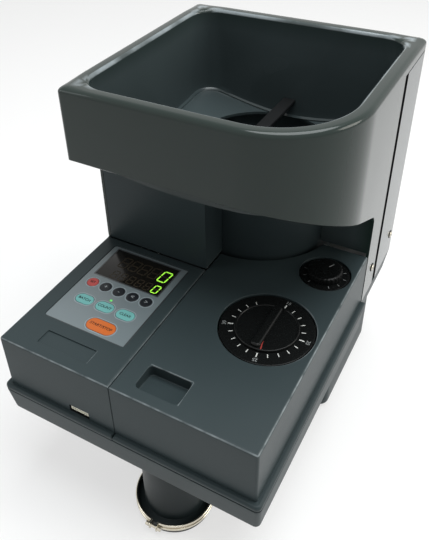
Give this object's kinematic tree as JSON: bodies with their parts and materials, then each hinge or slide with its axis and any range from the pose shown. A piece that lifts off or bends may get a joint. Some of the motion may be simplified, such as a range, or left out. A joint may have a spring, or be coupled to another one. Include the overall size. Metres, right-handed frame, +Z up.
{
  "type": "coin counting machine",
  "caption": "Desktop coin counter with a deep hopper over a feed disc, diameter and thickness dials, a control panel with display and a bag tube under the front.",
  "frame": {"origin": "on the floor, under the middle of the body", "axes": "+X to the machine's right, +Y to its back, +Z up; the control panel faces -Y and up"},
  "size_m": [0.266, 0.3848, 0.378],
  "materials": {
    "cover_grey": "satin",
    "hopper_grey": "glossy",
    "base_grey": "fine texture",
    "black_plastic": "satin",
    "rubber_black": "matte",
    "zinc_steel": "zinc plated",
    "nickel": "nickel plated",
    "panel_print": "printed film",
    "smoked_glass": "smoked",
    "circuit_board": "solder resist",
    "led_black": "glossy",
    "lamp_green": "clear lens",
    "key_red": "satin",
    "key_black": "satin",
    "key_cyan": "satin",
    "key_orange": "satin",
    "cream_plastic": "satin",
    "belt_rubber": "matte",
    "green_belt": "matte",
    "aluminium": "turned",
    "motor_black": "satin",
    "laminated_steel": "lacquered",
    "bronze": "turned"
  },
  "bodies": {
    "machine": {"base_tray": "base_grey", "pedestal": "base_grey", "rubber_feet": "rubber_black", "chassis_plate": "zinc_steel", "control_cover": "cover_grey", "panel_film": "panel_print", "display_window": "smoked_glass", "display_board": "circuit_board", "led_digits": "led_black", "indicator_lamp": "lamp_green", "front_connector": "cream_plastic", "hopper": "hopper_grey", "hopper_bar": "black_plastic", "tower_column": "cover_grey", "rear_cover": "cover_grey", "feed_drum": "hopper_grey", "bearing_bridge": "zinc_steel", "disc_bearing": "bronze", "main_motor": "motor_black", "drive_belt": "belt_rubber", "transport_belt": "green_belt", "roller_brackets": "zinc_steel", "transport_motor": "motor_black", "fixed_rail": "aluminium", "diameter_dial": "black_plastic", "thickness_dial": "black_plastic", "cover_hinge": "zinc_steel", "stop_solenoid": "zinc_steel", "coin_sensor": "black_plastic", "coin_tube": "black_plastic", "bag_clamp": "nickel", "power_inlet": "black_plastic", "switch_frame": "black_plastic", "transformer": "laminated_steel", "power_board": "circuit_board", "side_screws": "zinc_steel"},
    "coin_cover": {"coin_cover": "cover_grey"},
    "feed_disc": {"feed_disc": "aluminium", "disc_shaft": "zinc_steel", "disc_pulley": "aluminium"},
    "motor_rotor": {"motor_pulley": "aluminium"},
    "drive_roller": {"drive_roller": "rubber_black"},
    "idler_roller": {"idler_roller": "rubber_black"},
    "diameter_knob": {"diameter_knob": "black_plastic", "dial_scroll": "aluminium"},
    "diameter_fence": {"diameter_fence": "aluminium"},
    "thickness_knob": {"thickness_knob": "black_plastic"},
    "thickness_gate": {"thickness_gate": "zinc_steel"},
    "stop_plunger": {"stop_plunger": "zinc_steel"},
    "power_rocker": {"power_rocker": "black_plastic"},
    "clamp_screw": {"clamp_screw": "nickel"},
    "round_key_1": {"round_key_1": "key_red"},
    "round_key_2": {"round_key_2": "key_black"},
    "round_key_3": {"round_key_3": "key_black"},
    "round_key_4": {"round_key_4": "key_black"},
    "round_key_5": {"round_key_5": "key_black"},
    "oval_key_1": {"oval_key_1": "key_cyan"},
    "oval_key_2": {"oval_key_2": "key_cyan"},
    "oval_key_3": {"oval_key_3": "key_cyan"},
    "start_key": {"start_key": "key_orange"}
  },
  "joints": [
    {"name": "cover_lift", "type": "hinge", "parent": "machine", "child": "coin_cover", "pos_m": [0.101, 0.07708, 0.178], "axis": [-1, 0, 0], "range_deg": [0, 15]},
    {"name": "disc_spin", "type": "hinge", "parent": "machine", "child": "feed_disc", "pos_m": [-0.005, 0.10207, 0.14], "axis": [0, 0, 1], "continuous": true},
    {"name": "motor_spin", "type": "hinge", "parent": "machine", "child": "motor_rotor", "pos_m": [0.076, 0.10708, 0.12], "axis": [0, 0, 1], "continuous": true},
    {"name": "drive_roller_spin", "type": "hinge", "parent": "machine", "child": "drive_roller", "pos_m": [0.0257, -0.00093, 0.173], "axis": [1, 0, 0], "continuous": true},
    {"name": "idler_roller_spin", "type": "hinge", "parent": "machine", "child": "idler_roller", "pos_m": [0.0257, -0.10093, 0.173], "axis": [1, 0, 0], "continuous": true},
    {"name": "diameter_turn", "type": "hinge", "parent": "machine", "child": "diameter_knob", "pos_m": [0.0789, -0.06212, 0.186], "axis": [0, 0, -1], "range_deg": [-164, 147.6]},
    {"name": "fence_slide", "type": "slide", "parent": "machine", "child": "diameter_fence", "axis": [1, 0, 0], "range_m": [-0.01001, 0.00901]},
    {"name": "thickness_turn", "type": "hinge", "parent": "machine", "child": "thickness_knob", "pos_m": [0.0987, 0.03198, 0.186], "axis": [0, 0, 1], "range_deg": [-150, 120]},
    {"name": "gate_slide", "type": "slide", "parent": "machine", "child": "thickness_gate", "axis": [0, 0, 1], "range_m": [-0.00139, 0.00111]},
    {"name": "plunger_slide", "type": "slide", "parent": "machine", "child": "stop_plunger", "axis": [-1, 0, 0], "range_m": [0, 0.005], "stiffness_N_per_m": 200, "springref_m": -0.002},
    {"name": "rocker_tilt", "type": "hinge", "parent": "machine", "child": "power_rocker", "pos_m": [0.088, 0.18607, 0.192], "axis": [0, 0, 1], "range_deg": [-10, 10]},
    {"name": "clamp_screw_turn", "type": "hinge", "parent": "machine", "child": "clamp_screw", "pos_m": [0.0257, -0.18937, 0.011], "axis": [1, 0, 0], "range_deg": [-180, 180]},
    {"name": "round_key_1_press", "type": "slide", "parent": "machine", "child": "round_key_1", "axis": [0, 0, -1], "range_m": [0, 0.0008], "stiffness_N_per_m": 400, "springref_m": -0.0006},
    {"name": "round_key_2_press", "type": "slide", "parent": "machine", "child": "round_key_2", "axis": [0, 0, -1], "range_m": [0, 0.0008], "stiffness_N_per_m": 400, "springref_m": -0.0006},
    {"name": "round_key_3_press", "type": "slide", "parent": "machine", "child": "round_key_3", "axis": [0, 0, -1], "range_m": [0, 0.0008], "stiffness_N_per_m": 400, "springref_m": -0.0006},
    {"name": "round_key_4_press", "type": "slide", "parent": "machine", "child": "round_key_4", "axis": [0, 0, -1], "range_m": [0, 0.0008], "stiffness_N_per_m": 400, "springref_m": -0.0006},
    {"name": "round_key_5_press", "type": "slide", "parent": "machine", "child": "round_key_5", "axis": [0, 0, -1], "range_m": [0, 0.0008], "stiffness_N_per_m": 400, "springref_m": -0.0006},
    {"name": "oval_key_1_press", "type": "slide", "parent": "machine", "child": "oval_key_1", "axis": [0, 0, -1], "range_m": [0, 0.0008], "stiffness_N_per_m": 400, "springref_m": -0.0006},
    {"name": "oval_key_2_press", "type": "slide", "parent": "machine", "child": "oval_key_2", "axis": [0, 0, -1], "range_m": [0, 0.0008], "stiffness_N_per_m": 400, "springref_m": -0.0006},
    {"name": "oval_key_3_press", "type": "slide", "parent": "machine", "child": "oval_key_3", "axis": [0, 0, -1], "range_m": [0, 0.0008], "stiffness_N_per_m": 400, "springref_m": -0.0006},
    {"name": "start_key_press", "type": "slide", "parent": "machine", "child": "start_key", "axis": [0, 0, -1], "range_m": [0, 0.0008], "stiffness_N_per_m": 400, "springref_m": -0.0006}
  ],
  "couplings": [
    {"joint": "motor_spin", "follows": "disc_spin", "ratio": 2.8571},
    {"joint": "idler_roller_spin", "follows": "drive_roller_spin", "ratio": 1},
    {"joint": "fence_slide", "follows": "diameter_turn", "m_per_rad": 0.0034937},
    {"joint": "thickness_turn", "follows": "gate_slide", "rad_per_m": 1884.9}
  ]
}
